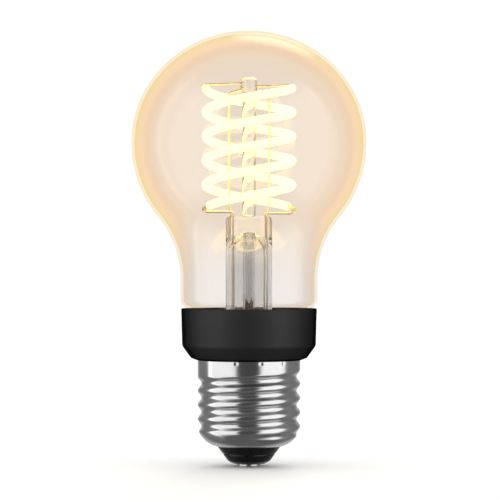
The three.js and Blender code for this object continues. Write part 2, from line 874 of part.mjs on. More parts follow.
// The radio module stands behind the driver board, with its antenna above the metal shell.
const radio = new THREE.Group();
radio.position.set(0, radioBoardFace, radioBoardTop);
lamp.add(radio);
const onRadio = (name, size, geometry, finishName, y, below) =>
  add(name, geometry, finishName, [0, y, -below - size[2] / 2], radio);
const moduleBack = radioBoardSize[1] + bondGap;
const shieldBelow = antennaSize[2] + 1;

onRadio("radio_board", radioBoardSize, box(radioBoardSize), "boardLaminate", radioBoardSize[1] / 2, 0);
onRadio("pin_header", headerSize, box(headerSize), "blackEpoxy", -bondGap - headerSize[1] / 2, 8.5);
onRadio("radio_shield", shieldSize, radioShield(), "solder", moduleBack + shieldSize[1] / 2, shieldBelow);
onRadio(
  "radio_chip",
  radioChipSize,
  box(radioChipSize),
  "blackEpoxy",
  moduleBack + radioChipSize[1] / 2,
  shieldBelow + (shieldSize[2] - radioChipSize[2]) / 2,
);
onRadio("antenna", antennaSize, antenna(), "copper", moduleBack + antennaSize[1] / 2, 0.4);

export default lamp;
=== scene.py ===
"""Filament lamp: a blown bulb with two coiled filaments on a glass stem, a moulded collar and a screw cap."""

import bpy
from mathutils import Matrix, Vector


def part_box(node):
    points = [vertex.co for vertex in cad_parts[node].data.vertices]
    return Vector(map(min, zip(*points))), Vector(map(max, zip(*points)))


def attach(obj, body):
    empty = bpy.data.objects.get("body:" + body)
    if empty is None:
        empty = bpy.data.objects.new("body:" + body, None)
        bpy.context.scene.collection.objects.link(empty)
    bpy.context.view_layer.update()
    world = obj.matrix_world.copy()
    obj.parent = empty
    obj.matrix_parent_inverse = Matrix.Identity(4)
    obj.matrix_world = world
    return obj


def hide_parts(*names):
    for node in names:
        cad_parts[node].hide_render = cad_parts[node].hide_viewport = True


bl_info = {
    "name": "Filament Lamp",
    "version": (1, 0, 0),
    "blender": (4, 5, 0),
    "location": "View3D > Sidebar > Lamp",
    "description": "Builds the looks of a filament lamp around its packed frame",
    "category": "Object",
}

import math

import bmesh
import bpy
from bpy.props import FloatProperty, FloatVectorProperty, IntProperty, PointerProperty
from mathutils import Matrix, Vector

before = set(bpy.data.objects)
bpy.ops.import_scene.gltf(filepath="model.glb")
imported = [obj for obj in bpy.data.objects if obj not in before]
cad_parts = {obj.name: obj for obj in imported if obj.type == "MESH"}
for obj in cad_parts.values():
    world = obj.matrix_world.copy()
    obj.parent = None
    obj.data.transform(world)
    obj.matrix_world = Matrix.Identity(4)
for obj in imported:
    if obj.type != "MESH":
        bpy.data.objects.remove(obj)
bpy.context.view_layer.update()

MM = 0.001
FULL_TURN = 2 * math.pi
BODY = "root"
# Points closer than this become one.
MERGE = 0.001 * MM


def low(node):
    """Lowest corner of a frame node."""
    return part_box(node)[0]


def high(node):
    """Highest corner of a frame node."""
    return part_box(node)[1]


def linear(hex_code):
    """An sRGB hex colour as linear red, green and blue."""
    shares = [int(hex_code[i : i + 2], 16) / 255 for i in (0, 2, 4)]
    return [c / 12.92 if c <= 0.04045 else ((c + 0.055) / 1.055) ** 2.4 for c in shares]


def length(name, millimetres, description):
    """A length property with its default in millimetres."""
    return FloatProperty(
        name=name, description=description, default=millimetres * MM, min=0, precision=5, unit="LENGTH"
    )


def angle(name, degrees, description):
    """An angle property with its default in degrees."""
    return FloatProperty(
        name=name, description=description, default=math.radians(degrees), subtype="ANGLE"
    )


def count(name, number, description):
    """A whole-number property."""
    return IntProperty(name=name, description=description, default=number, min=1)


def number(name, value, description):
    """A plain number property."""
    return FloatProperty(name=name, description=description, default=value)


def paint(name, hex_code, description):
    """A colour property with its default in sRGB hex."""
    return FloatVectorProperty(
        name=name, description=description, default=linear(hex_code), min=0, max=1, subtype="COLOR"
    )


# ---------------------------------------------------------------- sizes and colours


class CapSizes(bpy.types.PropertyGroup):
    crest_radius: length("Crest Radius", 13.15, "Radius over the thread's crests")
    pitch: length("Pitch", 3.629, "Rise of the thread in one turn")
    depth: length("Thread Depth", 1.0, "From crest to root")
    thread_start: length("Thread Start", 5.15, "Lowest crest above the shell's lower end")
    thread_turns: number("Turns", 3.5, "Turns of groove before it fades")
    run_out: number("Run Out", 0.5, "Turns over which the groove fades")
    sheet: length("Sheet", 0.3, "Thickness of the rolled sheet")
    end_rounding: length("End Rounding", 7.0, "Radius of the rounded lower end")
    end_bulge: length("End Bulge", 0.45, "How far that rounding's circle reaches past the crests")
    foot_radius: length("Foot Radius", 8.05, "Where the rounding meets the flat rim")
    rim: length("Rim", 0.35, "Width of the flat lower rim")
    crease: length("Crease", 0.35, "Width over which the thread runs into the rounded end")
    punch_marks: count("Punch Marks", 13, "Crimp marks round the upper edge")
    punch_radius: length("Punch Radius", 0.48, "Radius of one crimp mark")
    punch_depth: length("Punch Depth", 0.15, "Depth of one crimp mark")
    punch_drop: length("Punch Drop", 0.52, "Crimp marks below the upper edge")
    punch_turn: angle("Punch Turn", -76.5, "Angle of the first crimp mark from +X")


class InsulatorSizes(bpy.types.PropertyGroup):
    tip_radius: length("Tip Radius", 4.0, "Radius of the flat tip round the contact")
    shoulder_radius: length("Shoulder Radius", 5.4, "Radius where the cone starts")
    shoulder_rise: length("Shoulder Rise", 0.75, "Height of that shoulder above the tip")
    neck_gap: length("Neck Gap", 0.3, "Gap between its neck and the shell's mouth")
    wall: length("Wall", 0.9, "Wall of its neck")
    floor: length("Floor", 2.0, "Thickness of its floor")
    bore_radius: length("Bore Radius", 1.0, "Hole for the contact's stud")
    bead_rise: length("Groove Rise", 2.6, "Height of the moulded ring groove above the tip")
    bead_depth: length("Groove Depth", 0.16, "Depth of the moulded ring groove")
    contact_radius: length("Contact Radius", 2.95, "Radius of the centre contact")
    contact_edge: length("Contact Edge", 0.35, "Rounding of the contact's edge")
    stud_radius: length("Stud Radius", 0.7, "Radius of the contact's stud")


class CollarSizes(bpy.types.PropertyGroup):
    foot_radius: length("Foot Radius", 14.8, "Radius at the lower edge")
    foot_rise: length("Foot Rise", 0.6, "Height of the lower edge above the shell")
    chamfer_radius: length("Chamfer Radius", 17.05, "Radius above the chamfer")
    chamfer_rise: length("Chamfer Rise", 3.7, "Height of the chamfer above the shell")
    rim_radius: length("Rim Radius", 17.3, "Radius of the upper rim")
    wall: length("Wall", 1.2, "Wall of the upper part")
    floor: length("Floor", 1.6, "Thickness of its floor")
    spigot_radius: length("Spigot Radius", 11.55, "Outer radius inside the shell")
    spigot_wall: length("Spigot Wall", 1.25, "Wall of the spigot")
    band_radius: length("Crimp Band", 12.7, "Radius of the band that the shell is crimped on")
    band_height: length("Band Height", 1.6, "Height of that band")
    edge: length("Edge", 0.22, "Rounding of the moulded edges")


class BulbSizes(bpy.types.PropertyGroup):
    neck_radius: length("Neck Radius", 17.5, "Outer radius of the neck")
    plug_radius: length("Plug Radius", 14.9, "Outer radius inside the collar")
    plug_drop: length("Plug Drop", 0.8, "Top of the straight plug below the collar's rim")
    shoulder: length("Shoulder", 2.6, "Rounding where the neck turns in above the collar")
    shoulder_rise: length("Shoulder Rise", 2.4, "Centre of that rounding above the collar's rim")
    neck_length: length("Neck Length", 7.3, "From the collar's rim to the start of the hollow curve")
    hollow: length("Hollow Curve", 25.5, "Radius of the hollow curve between neck and belly")
    belly: length("Belly", 30.0, "Radius of the belly")
    dome: length("Dome", 28.4, "Height of the dome above the widest ring")
    wall: length("Wall", 0.8, "Thickness of the glass")


class StemSizes(bpy.types.PropertyGroup):
    radius: length("Tube Radius", 5.9, "Outer radius of the stem tube")
    wall: length("Tube Wall", 0.8, "Wall of the stem tube")
    flare_radius: length("Flare Radius", 13.8, "Radius of the flare's rim")
    flare_rise: length("Flare Rise", 6.0, "Height of the flare")
    pinch_half: length("Pinch Half Thickness", 2.2, "Half the thickness of the flat pinch")
    bore_half: length("Bore Half Thickness", 1.2, "Half the thickness of the bore's flat end")
    pinch_height: length("Pinch Height", 5.2, "Height of the flat part")
    pinch_slope: length("Pinch Slope", 4.8, "Height over which the tube turns into the flat pinch")
    solid_glass: length("Solid Glass", 4.1, "Glass above the bore")
    wrinkled: length("Wrinkled", 3.2, "Height of the wrinkled end of the bore")
    wrinkle: length("Wrinkle", 0.22, "Depth of a wrinkle")
    wrinkles: count("Wrinkles", 13, "Wrinkles round the end of the bore")
    top_rounding: length("Top Rounding", 1.0, "Rounding of the pinch's upper edge")
    exhaust_radius: length("Exhaust Radius", 1.5, "Outer radius of the exhaust tube")
    exhaust_bore: length("Exhaust Bore", 0.7, "Bore of the exhaust tube")
    rod_radius: length("Rod Radius", 1.65, "Radius of the support rod")
    button_radius: length("Button Radius", 2.1, "Radius of the button")
    button_height: length("Button Height", 3.2, "Height of the button")


class FilamentSizes(bpy.types.PropertyGroup):
    coil_radius: length("Coil Radius", 11.0, "Radius of the coils' middle line")
    strand_radius: length("Strand Radius", 1.0, "Radius of the coated strip")
    pitch: length("Pitch", 12.4, "Rise of one filament in a full turn")
    sweep: angle("Sweep", 876.5, "Angle that each filament runs through")
    above_stem: length("Above Stem", 2.6, "Lower ends above the stem")
    tab_width: length("Tab Width", 0.84, "Width of a welded tab")
    tab_sheet: length("Tab Sheet", 0.22, "Thickness of a welded tab")
    upper_tab: length("Upper Tab", 2.4, "Length of an upper tab")
    lower_tab: length("Lower Tab", 4.4, "Length of a lower tab")
    bond: length("Bond", 0.15, "From a filament's end to its tab")


class WireSizes(bpy.types.PropertyGroup):
    lead_radius: length("Lead Radius", 0.28, "Radius of the two leads and the left riser")
    thin_radius: length("Thin Riser Radius", 0.2, "Radius of the right riser")
    top_radius: length("Top Wire Radius", 0.25, "Radius of the two top wires")
    lead_across: length("Lead Across", 4.0, "Distance of the leads from the middle")
    lead_depth: length("Lead Depth", 1.03, "How far the sealed wires stand in front and behind")
    riser_across: length("Riser Across", 4.5, "Distance of the risers from the middle in the stem")
    riser_reach: length("Riser Reach", 5.1, "Distance of the risers from the middle above it")
    spread: length("Spread", 3.0, "Height above the stem over which the risers spread")
    left_run: length("Left Run", 1.1, "Height of the left lead's level run above the stem")
    right_run: length("Right Run", 0.8, "Height of the right lead's level run above the stem")
    left_drop: length("Left Drop", 1.4, "Left top wire below the button's top")
    right_drop: length("Right Drop", 2.2, "Right top wire below the button's top")
    hook_drop: length("Hook Drop", 2.7, "Left riser's end below the button's top")
    hook_rise: length("Hook Rise", 1.2, "Height of the left riser's slanting end")
    socket: length("Socket", 1.1, "How deep the button's wires sit in it")
    bend: length("Bend", 0.6, "Length taken up by a bend, each side")


class FinishColours(bpy.types.PropertyGroup):
    # Painted light: the belly's warm tint is partly the glass's own amber and partly the filaments' light
    # painted in.
    lit_belly_glass: paint("Belly Glass", "EEDFCC", "What the belly's glass lets through, face on")
    neck_glass: paint("Neck Glass", "EAE5E0", "What the neck's glass lets through, face on")
    stem_glass: paint("Stem Glass", "F9F8F6", "Tint of the drawn glass above the pinch")
    # Painted shade: the tube's grey stands for the filaments' light not reaching below the pinch.
    shaded_tube_glass: paint("Tube Glass", "EAEAEB", "Tint of the drawn glass below the pinch")
    glow: paint("Glow", "FFE692", "Light of the filaments")
    phosphor: paint("Phosphor", "FFE27A", "Coating of the filaments")
    wire: paint("Wire", "FFF4DC", "Plated wires")
    tab: paint("Tab", "FFF0C4", "Welded tabs")
    collar: paint("Collar", "0D0D0D", "Moulded collar")
    nickel: paint("Nickel", "CFCFD0", "Nickel plate")
    insulator: paint("Insulator", "0C0C0C", "Black glass insulator")
    solder: paint("Solder", "B9B9B6", "Solder of the centre contact")


class StageSizes(bpy.types.PropertyGroup):
    floor_radius: length("Floor Radius", 2000, "Radius of the floor")
    floor_colour: paint("Floor Colour", "F4F4F2", "Pale floor")
    distance: length("Camera Distance", 580, "Camera in front of the lamp")
    height: length("Camera Height", 50, "Camera above the floor")
    aside: length("Camera Aside", 0.26, "Camera to the right of the lamp's axis")
    aim: length("Aim", 55.1, "Height on the axis that the camera points at")
    lens: number("Lens", 163.6, "Focal length in millimetres")
    seen_light: number("Seen Light", 1.04, "Backdrop as the camera sees it")
    even_light: number("Even Light", 1.17, "Light that falls on matt surfaces")
    mirrored_light: number("Mirrored Light", 1.35, "Light of the room in mirrors")


SETTINGS = {
    "lamp_cap": CapSizes,
    "lamp_insulator": InsulatorSizes,
    "lamp_collar": CollarSizes,
    "lamp_bulb": BulbSizes,
    "lamp_stem": StemSizes,
    "lamp_filament": FilamentSizes,
    "lamp_wires": WireSizes,
    "lamp_colours": FinishColours,
    "lamp_stage": StageSizes,
}

# ---------------------------------------------------------------- shapes


def round_off(bm, parts, offset, segments, affect):
    """Rounds corners or edges, in the way that all pieces share."""
    bmesh.ops.bevel(
        bm, geom=parts, offset=offset, segments=segments, profile=0.5, affect=affect, material=-1
    )


class Outline:
    """A profile in the XZ plane, drawn point by point, that is then turned about Z."""

    def __init__(self, radius, height):
        self.bm = bmesh.new()
        self.start = (radius, height)
        self.end = bmesh.ops.create_vert(self.bm, co=(radius, 0, height))["vert"][0]
        self.soft = []

    def to(self, radius, height, soften=0.0):
        """Draws a straight line. With soften, the corner is rounded over that length."""
        self.end = bmesh.ops.extrude_vert_indiv(self.bm, verts=[self.end])["verts"][0]
        self.end.co = (radius, 0, height)
        if soften:
            self.soft.append((self.end, soften))
        return self

    def arc(self, radius, height, degrees, steps, stretch=1.0):
        """Draws an arc round a centre, stretched in height from there."""
        centre = (radius, 0, height)
        made = bmesh.ops.spin(
            self.bm, geom=[self.end], cent=centre, axis=(0, -1, 0), angle=math.radians(degrees), steps=steps
        )
        self.end = next(e for e in made["geom_last"] if isinstance(e, bmesh.types.BMVert))
        if stretch != 1.0:
            above = [v for v in self.bm.verts if v.co.z > height]
            from_centre = Matrix.Translation((0, 0, -height))
            bmesh.ops.scale(self.bm, vec=(1, 1, stretch), space=from_centre, verts=above)
        return self

    def turn(self, steps, closed=False):
        """Rounds the soft corners and turns the profile about Z into a surface."""
        if closed:
            self.to(*self.start)
            bmesh.ops.remove_doubles(self.bm, verts=self.bm.verts, dist=MERGE)
        for vert, soften in self.soft:
            round_off(self.bm, [vert], soften, 4, "VERTICES")
        bmesh.ops.spin(
            self.bm,
            geom=self.bm.verts[:] + self.bm.edges[:],
            cent=(0, 0, 0),
            axis=(0, 0, 1),
            angle=FULL_TURN,
            steps=steps,
            use_merge=True,
        )
        bmesh.ops.remove_doubles(self.bm, verts=self.bm.verts, dist=MERGE)
        bmesh.ops.recalc_face_normals(self.bm, faces=self.bm.faces)
        return self.bm


def new_object(name, bm):
    """Makes an object of a mesh and links it to the scene."""
    mesh = bpy.data.meshes.new(name)
    bm.to_mesh(mesh)
    bm.free()
    made = bpy.data.objects.new(name, mesh)
    bpy.context.scene.collection.objects.link(made)
    return made


def add_piece(name, bm, material, nodes, crease=40):
    """Makes an object of a mesh, rides it on the lamp and hides the given nodes, which it stands in for."""
    piece = new_object(name, bm)
    piece.data.materials.append(material)
    piece.data.shade_smooth()
    piece.data.set_sharp_from_angle(angle=math.radians(crease))
    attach(piece, BODY)
    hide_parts(*nodes)
    return piece


def drawn_wire(corners, radius, bend):
    """A round wire through the corners, with its bends rounded and its ends closed."""
    bm = bmesh.new()
    end = bmesh.ops.create_vert(bm, co=corners[0])["vert"][0]
    bends = []
    for corner in corners[1:]:
        end = bmesh.ops.extrude_vert_indiv(bm, verts=[end])["verts"][0]
        end.co = corner
        bends.append(end)
    for vert in bends[:-1]:
        # A bend takes up less than half of its shorter leg.
        reach = min(e.calc_length() for e in vert.link_edges) * 0.45
        round_off(bm, [vert], min(bend, reach), 6, "VERTICES")
    route = new_object("wire_route", bm)
    bpy.ops.object.select_all(action="DESELECT")
    route.select_set(True)
    bpy.context.view_layer.objects.active = route
    bpy.ops.object.convert(target="CURVE")
    route.data.bevel_depth = radius
    route.data.bevel_resolution = 3
    route.data.use_fill_caps = True
    bpy.ops.object.convert(target="MESH")
    tube = bmesh.new()
    tube.from_mesh(route.data)
    bmesh.ops.remove_doubles(tube, verts=tube.verts, dist=MERGE)
    bmesh.ops.recalc_face_normals(tube, faces=tube.faces)
    bpy.data.objects.remove(route)
    return tube


class Coil:
    """The middle line of one filament, a right-handed helix about Z."""

    def __init__(self, sizes, bottom, last_angle):
        self.sizes = sizes
        self.bottom = bottom
        self.angles = (last_angle - sizes.sweep, last_angle)

    def point(self, end):
        """Its lower (0) or upper (1) end."""
        a = self.angles[end]
        rise = self.sizes.pitch * (a - self.angles[0]) / FULL_TURN
        radius = self.sizes.coil_radius
        return Vector((radius * math.cos(a), radius * math.sin(a), self.bottom + rise))

    def heading(self, end):
        """The direction straight on from that end."""
        a = self.angles[end]
        radius = self.sizes.coil_radius
        along = Vector((-radius * math.sin(a), radius * math.cos(a), self.sizes.pitch / FULL_TURN))
        return along.normalized() * (1 if end else -1)

    def beyond(self, end, distance):
        """A point straight on from that end."""
        return self.point(end) + distance * self.heading(end)


def coils(context):
    """The two filaments' middle lines, half a turn apart."""
    sizes = context.scene.lamp_filament
    bottom = high("glass_stem").z + sizes.above_stem
    return {"a": Coil(sizes, bottom, 0.0), "b": Coil(sizes, bottom, math.pi)}


# ---------------------------------------------------------------- materials

# Between these heights the bulb turns from its neck's tint to its belly's, which has the filaments' light
# painted in, and the stem turns from the grey of its painted shade to clear.
FILAMENT_LIT_HEIGHTS = {"From Min": 44 * MM, "From Max": 68 * MM}
TUBE_SHADE_FADE = {"From Min": 51 * MM, "From Max": 57 * MM}
# Nearly all of a noise's values lie between these.
MIDDLE = {"From Min": 0.3, "From Max": 0.7}


def add_node(tree, kind, inputs=None, stops=None, **settings):
    """Adds a node. Inputs are values or the sockets to link, stops are a ramp's places and colours."""
    made = tree.nodes.new(kind)
    for name, value in settings.items():
        setattr(made, name, value)
    for name, value in (inputs or {}).items():
        if isinstance(value, bpy.types.NodeSocket):
            tree.links.new(value, made.inputs[name])
        else:
            made.inputs[name].default_value = value
    if stops:
        ramp = made.color_ramp.elements
        while len(ramp) < len(stops):
            ramp.new(1.0)
        for element, (place, colour) in zip(ramp, stops):
            element.position = place
            element.color = (*colour, 1) if isinstance(colour, (list, tuple)) else (colour,) * 3 + (1,)
    return made


def new_material(name):
    """An empty material, its node tree and the place on the piece, which its patterns follow."""
    material = bpy.data.materials.new(name)
    material.use_nodes = True
    tree = material.node_tree
    tree.nodes.clear()
    return material, tree, add_node(tree, "ShaderNodeTexCoord").outputs["Object"]


def surfaced(material, skin):
    """The material, with that shader as its surface."""
    add_node(material.node_tree, "ShaderNodeOutputMaterial", {"Surface": skin.outputs[0]})
    return material


def per(millimetres):
    """A pattern's scale for features of that size."""
    return 1 / (millimetres * MM)


def each_face(colour):
    """The tint of one glass face: light crosses four of them on its way through the bulb."""
    return [c ** 0.25 for c in colour]


def glass_stops(face_on, *glancing):
    """A ramp's stops for the bulb: its tint face on, then places and hex colours towards its rim."""
    return [(0.0, each_face(face_on))] + [(place, each_face(linear(code))) for place, code in glancing]


def tinted(colour, share):
    """A colour pulled towards black by a share."""
    return [c * share for c in colour]


def grained(
    name,
    colour,
    rough,
    grain,
    stretch=(1, 1, 1),
    metal=0.0,
    bump=0.02,
    fade=0.8,
    vary=0.25,
    shine=0.5,
    glancing=1.0,
):
    """A solid finish whose colour, gloss and surface follow one grain of a real size in millimetres."""
    material, tree, place = new_material(name)
    mapped = add_node(tree, "ShaderNodeMapping", {"Vector": place, "Scale": stretch}).outputs[0]
    tooth = {"Vector": mapped, "Scale": per(grain), "Detail": 4.0, "Roughness": 0.6}
    noise = add_node(tree, "ShaderNodeTexNoise", tooth).outputs["Fac"]
    broad = add_node(tree, "ShaderNodeTexNoise", {"Vector": mapped, "Scale": per(grain * 14), "Detail": 2.0})
    stops = [(0.3, tinted(colour, fade)), (0.7, list(colour))]
    shade = add_node(tree, "ShaderNodeValToRGB", {"Fac": broad.outputs["Fac"]}, stops)
    ends = {"To Min": rough * (1 - vary), "To Max": min(1.0, rough * (1 + vary))}
    gloss = add_node(tree, "ShaderNodeMapRange", {"Value": noise, **MIDDLE, **ends})
    relief = add_node(tree, "ShaderNodeBump", {"Height": noise, "Strength": 0.5, "Distance": bump * MM})
    skin = add_node(
        tree,
        "ShaderNodeBsdfPrincipled",
        {
            "Base Color": shade.outputs["Color"],
            "Roughness": gloss.outputs["Result"],
            "Metallic": metal,
            "Specular IOR Level": shine,
            "Normal": relief.outputs["Normal"],
        },
    )
    if glancing < 1:
        # The tooth of a moulded skin hides some of its shine at a glancing look.
        facing = add_node(tree, "ShaderNodeLayerWeight", {"Blend": 0.5}).outputs["Facing"]
        ends = {"From Min": 0.1, "From Max": 0.7, "To Min": shine, "To Max": shine * glancing}
        fading = add_node(tree, "ShaderNodeMapRange", {"Value": facing, **ends})
        tree.links.new(fading.outputs["Result"], skin.inputs["Specular IOR Level"])
    return surfaced(material, skin)


def amber_bulb_glass(colours):
    """Soda-lime glass, blown in a turning mould, with the filaments' warm light painted into its tint as a
    glow.
    """
    material, tree, place = new_material("Soda-lime glass, mould-blown, painted filament glow")
    facing = add_node(tree, "ShaderNodeLayerWeight", {"Blend": 0.5}).outputs["Facing"]
    # The belly turns from pale to tan and then to a brighter orange at its rim, where the wall is seen edge
    # on. That rim is partly the deeper tint of the longer path and partly a painted glow of the filaments'
    # light caught in the glass.
    stops = glass_stops(
        colours.lit_belly_glass,
        (0.25, "F0DFCC"),
        (0.42, "F4DEC5"),
        (0.52, "F5D6B7"),
        (0.63, "FFE0B8"),
        (0.8, "FFE2AA"),
        (1.0, "FFE29C"),
    )
    belly = add_node(tree, "ShaderNodeValToRGB", {"Fac": facing}, stops)
    # The neck is out of the filaments' light, so its rim turns grey-brown.
    stops = glass_stops(
        colours.neck_glass, (0.35, "EDE5DF"), (0.45, "E6DCD4"), (0.7, "E6D3BF"), (1.0, "FFE6C0")
    )
    neck = add_node(tree, "ShaderNodeValToRGB", {"Fac": facing}, stops)
    # Painted light: going up from the neck, the glass turns from its tint out of the filaments' light to its
    # tint as they light it.
    height = add_node(tree, "ShaderNodeSeparateXYZ", {"Vector": place}).outputs["Z"]
    filament_lit = add_node(
        tree, "ShaderNodeMapRange", {"Value": height, **FILAMENT_LIT_HEIGHTS}, interpolation_type="SMOOTHSTEP"
    )
    both = {0: filament_lit.outputs["Result"], 6: neck.outputs["Color"], 7: belly.outputs["Color"]}
    tint = add_node(tree, "ShaderNodeMix", both, data_type="RGBA")
    clear = add_node(tree, "ShaderNodeBsdfTransparent", {"Color": tint.outputs[2]})
    # Slow waves, about 9 mm across, from the blowing: they bend the reflections a little.
    waves = add_node(tree, "ShaderNodeTexNoise", {"Vector": place, "Scale": per(9), "Detail": 1.0})
    swell = {"Height": waves.outputs["Fac"], "Strength": 0.3, "Distance": 0.12 * MM}
    relief = add_node(tree, "ShaderNodeBump", swell).outputs["Normal"]
    gloss = add_node(tree, "ShaderNodeBsdfGlossy", {"Roughness": 0.03, "Normal": relief})
    stops = [(0.0, 0.028), (0.6, 0.028), (0.75, 0.04), (1.0, 0.1)]
    share = add_node(tree, "ShaderNodeValToRGB", {"Fac": facing}, stops)
    both = {0: share.outputs["Color"], 1: clear.outputs[0], 2: gloss.outputs[0]}
    return surfaced(material, add_node(tree, "ShaderNodeMixShader", both))


def drawn_glass(colours):
    """Soft glass, drawn as tube and rod: clear and streaked along the draw, with a painted shade that greys
    the tube below the pinch, out of the filaments' light.
    """
    material, tree, place = new_material("Soft glass, drawn tube")
    drawn = add_node(tree, "ShaderNodeMapping", {"Vector": place, "Scale": (1, 1, 0.03)}).outputs[0]
    lines = add_node(tree, "ShaderNodeTexNoise", {"Vector": drawn, "Scale": per(1.1), "Detail": 2.0})
    streaks = {"Height": lines.outputs["Fac"], "Strength": 0.35, "Distance": 0.15 * MM}
    relief = add_node(tree, "ShaderNodeBump", streaks)
    height = add_node(tree, "ShaderNodeSeparateXYZ", {"Vector": place}).outputs["Z"]
    # Painted shade: below these heights the glass turns greyer, where the filaments' light doesn't reach.
    above = add_node(tree, "ShaderNodeMapRange", {"Value": height, **TUBE_SHADE_FADE})
    stops = [(0.0, list(colours.shaded_tube_glass)), (1.0, list(colours.stem_glass))]
    shade = add_node(tree, "ShaderNodeValToRGB", {"Fac": above.outputs["Result"]}, stops)
    skin = {
        "Base Color": shade.outputs["Color"],
        "Roughness": 0.0,
        "IOR": 1.52,
        "Transmission Weight": 1.0,
        "Normal": relief.outputs["Normal"],
    }
    return surfaced(material, add_node(tree, "ShaderNodeBsdfPrincipled", skin))


def glowing_phosphor(colours):
    """Silicone filled with phosphor, cast round the strip: it glows almost white, less between the dies."""
    material, tree, place = new_material("Phosphor silicone, cast, lit")
    cloud = add_node(tree, "ShaderNodeTexNoise", {"Vector": place, "Scale": per(1.6), "Detail": 2.0})
    brightness = {"Value": cloud.outputs["Fac"], **MIDDLE, "To Min": 2.6, "To Max": 3.4}
    strength = add_node(tree, "ShaderNodeMapRange", brightness)
    grain = add_node(tree, "ShaderNodeTexNoise", {"Vector": place, "Scale": per(0.3), "Detail": 2.0})
    tooth = {"Height": grain.outputs["Fac"], "Strength": 0.4, "Distance": 0.03 * MM}
    skin = {
        "Base Color": (*colours.phosphor, 1),
        "Roughness": 0.45,
        "Emission Color": (*colours.glow, 1),
        "Emission Strength": strength.outputs["Result"],
        "Normal": add_node(tree, "ShaderNodeBump", tooth).outputs["Normal"],
    }
    return surfaced(material, add_node(tree, "ShaderNodeBsdfPrincipled", skin))


def plated_nickel(colours):
    """Brass, rolled and nickel plated: mirror-like, with faint rings left by the rolls."""
    material, tree, place = new_material("Nickel plate on rolled brass")
    rolled = add_node(tree, "ShaderNodeMapping", {"Vector": place, "Scale": (0.06, 0.06, 1)}).outputs[0]
    rings = add_node(tree, "ShaderNodeTexNoise", {"Vector": rolled, "Scale": per(0.25), "Detail": 3.0})
    ridges = {"Height": rings.outputs["Fac"], "Strength": 0.25, "Distance": 0.01 * MM}
    stain = add_node(tree, "ShaderNodeTexNoise", {"Vector": place, "Scale": per(5), "Detail": 5.0})
    stained = stain.outputs["Fac"]
    stops = [(0.35, tinted(colours.nickel, 0.93)), (0.65, list(colours.nickel))]
    shade = add_node(tree, "ShaderNodeValToRGB", {"Fac": stained}, stops)
    gloss = add_node(tree, "ShaderNodeMapRange", {"Value": stained, **MIDDLE, "To Min": 0.16, "To Max": 0.23})
    skin = {
        "Base Color": shade.outputs["Color"],
        "Metallic": 1.0,
        "Roughness": gloss.outputs["Result"],
        "Normal": add_node(tree, "ShaderNodeBump", ridges).outputs["Normal"],
    }
    return surfaced(material, add_node(tree, "ShaderNodeBsdfPrincipled", skin))


# The hidden driver and radio. Each has its real material, its colour, its roughness and the size of its
# grain in millimetres.
DRIVER_FINISHES = {
    # Lamp cement: baked resin and marble flour, matt and sandy.
    "Lamp cement, baked": (["neck_cement"], "B9AC92", dict(rough=0.85, grain=0.35, bump=0.12)),
    # Silicone-covered wire: smooth and slightly greasy.
    "Silicone cable, red": (["live_wire"], "B23A30", dict(rough=0.45, grain=0.4)),
    "Silicone cable, blue": (["neutral_wire"], "2F4F9E", dict(rough=0.45, grain=0.4)),
    # Glass-epoxy laminate under solder resist: satin green over a fine weave.
    "Glass-epoxy laminate, solder resist": (
        ["driver_board", "radio_board"],
        "1F5A38",
        dict(rough=0.4, grain=0.45, stretch=(1, 1, 0.4), bump=0.03, fade=0.7),
    ),
    # Shrunk plastic sleeve: smooth, with a soft shine.
    "Shrink sleeve, slate": (["bulk_capacitor"], "2B3A4A", dict(rough=0.35, grain=0.8)),
    # Moulded epoxy: matt black with a fine speckle.
    "Moulded epoxy, black": (
        ["bridge_rectifier", "driver_chip", "pin_header", "radio_chip"],
        "1C1C1E",
        dict(rough=0.6, grain=0.12, bump=0.03),
    ),
    # Sintered ferrite: dark grey, dull and slightly pitted.
    "Sintered ferrite": (["inductor_core"], "3A3A3C", dict(rough=0.7, grain=0.25, bump=0.05)),
    # Enamelled copper, wound: level turns 0.3 mm apart.
    "Enamelled copper, wound": (
        ["inductor_winding"],
        "B8703A",
        dict(rough=0.35, grain=0.3, stretch=(0.05, 0.05, 1), metal=1.0, bump=0.15, fade=0.7),
    ),
    # Etched copper: bright with a fine tooth.
    "Etched copper": (["antenna"], "C07A45", dict(rough=0.35, grain=0.15, metal=1.0)),
    # Dipped lacquer on a resistor: soft green gloss.
    "Dipped lacquer, green": (["fuse_resistor"], "4F7A58", dict(rough=0.4, grain=0.6, bump=0.05)),
    # Flame-proof epoxy dip: mustard yellow, slightly uneven.
    "Dipped epoxy, yellow": (["film_capacitor"], "C9A23A", dict(rough=0.45, grain=0.7, bump=0.05)),
    # Tinned steel sheet: satin, with the faint grain of rolling.
    "Tinned steel, rolled": (
        ["radio_shield"],
        "BFBFBC",
        dict(rough=0.3, grain=0.3, stretch=(0.1, 1, 1), metal=1.0, bump=0.01),
    ),
}

# ---------------------------------------------------------------- pieces


